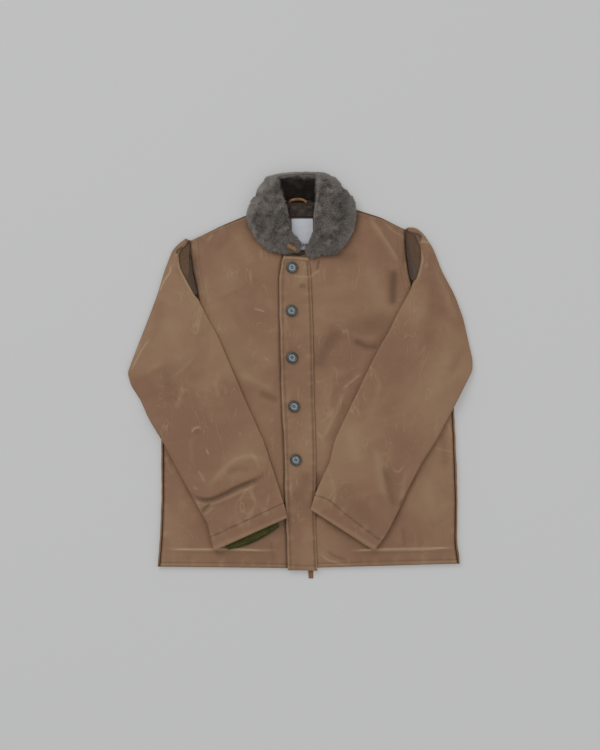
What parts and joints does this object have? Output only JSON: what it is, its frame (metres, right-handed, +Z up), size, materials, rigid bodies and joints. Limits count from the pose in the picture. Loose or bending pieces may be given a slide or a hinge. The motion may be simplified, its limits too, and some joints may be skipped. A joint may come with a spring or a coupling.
{
  "type": "deck jacket",
  "caption": "Waxed-cotton deck jacket with a fur shawl collar, buttoned and laid flat on its back with both sleeves swung over the front.",
  "frame": {"origin": "centre of the jacket's footprint, on the surface that it lies on", "axes": "+X to the wearer's left sleeve, +Y from the hem to the collar, +Z up out of the front"},
  "size_m": [0.692, 0.814, 0.044],
  "materials": {
    "waxed_cloth": "waxed, lightly worn",
    "rib_knit": "ribbed knit",
    "fur": "clipped fur",
    "pile_lining": "pile",
    "label_cloth": "woven tape",
    "leather_trim": "smooth",
    "button_plastic": "satin, mottled"
  },
  "bodies": {
    "root": {"back": "waxed_cloth", "front_right": "waxed_cloth", "front_left": "waxed_cloth", "front_flap": "waxed_cloth", "sleeve_right": "waxed_cloth", "sleeve_left": "waxed_cloth", "rib_cuff_right": "rib_knit", "collar": "fur", "neck_band": "pile_lining", "neck_label": "label_cloth", "hanger_loop": "leather_trim", "throat_loop": "leather_trim", "button_1": "button_plastic", "button_2": "button_plastic", "button_3": "button_plastic", "button_4": "button_plastic", "button_5": "button_plastic", "hem_tie": "leather_trim"}
  },
  "joints": []
}
